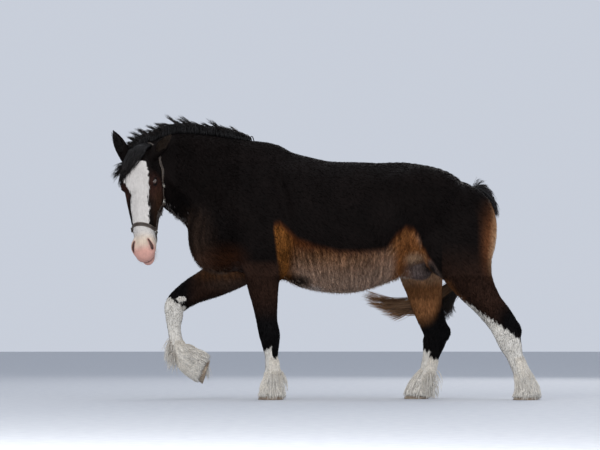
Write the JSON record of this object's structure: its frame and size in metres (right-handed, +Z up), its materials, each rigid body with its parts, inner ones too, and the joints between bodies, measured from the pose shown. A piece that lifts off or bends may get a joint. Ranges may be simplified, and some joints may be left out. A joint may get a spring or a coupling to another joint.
{
  "type": "shire horse model",
  "caption": "Life-size still model of a shire horse at a walk, looking round to its left, with feathered legs, a blaze and a leather halter.",
  "frame": {"origin": "on the ground, under the middle of the horse's box", "axes": "+Z up; the horse faces -X and its left side faces -Y"},
  "size_m": [2.8702, 0.9572, 1.92],
  "materials": {
    "coat_dark": "near-black seal brown short coat, tan at the elbow, belly and flank",
    "coat_brown": "brown short coat, black towards knee and hock",
    "coat_white": "white coat and long silky feather",
    "hair_black": "black mane and tail hair, golden brown at the tail's tips",
    "hoof_horn": "pale horn",
    "eye_dark": "wet dark brown eye",
    "halter_leather": "dark brown bridle leather",
    "halter_metal": "bright plain steel rings and buckle"
  },
  "bodies": {
    "root": {"torso": "coat_dark", "neck": "coat_dark", "head": "coat_dark", "ear_left": "coat_dark", "ear_right": "coat_dark", "eye_left": "eye_dark", "eye_right": "eye_dark", "foreleg_left_upper": "coat_brown", "foreleg_right_upper": "coat_brown", "hindleg_left_upper": "coat_brown", "hindleg_right_upper": "coat_brown", "foreleg_left_lower": "coat_white", "foreleg_right_lower": "coat_white", "hindleg_left_lower": "coat_white", "hindleg_right_lower": "coat_white", "hoof_fore_left": "hoof_horn", "hoof_fore_right": "hoof_horn", "hoof_hind_left": "hoof_horn", "hoof_hind_right": "hoof_horn", "tail_upper": "hair_black", "tail_lower": "hair_black", "halter_noseband": "halter_leather", "halter_cheek_left": "halter_leather", "halter_cheek_right": "halter_leather", "halter_buckle": "halter_metal", "halter_chin": "halter_leather", "halter_crown": "halter_leather", "halter_ring_left": "halter_metal", "halter_ring_right": "halter_metal", "halter_square_left": "halter_metal", "halter_square_right": "halter_metal", "halter_throat": "halter_leather"}
  },
  "joints": []
}
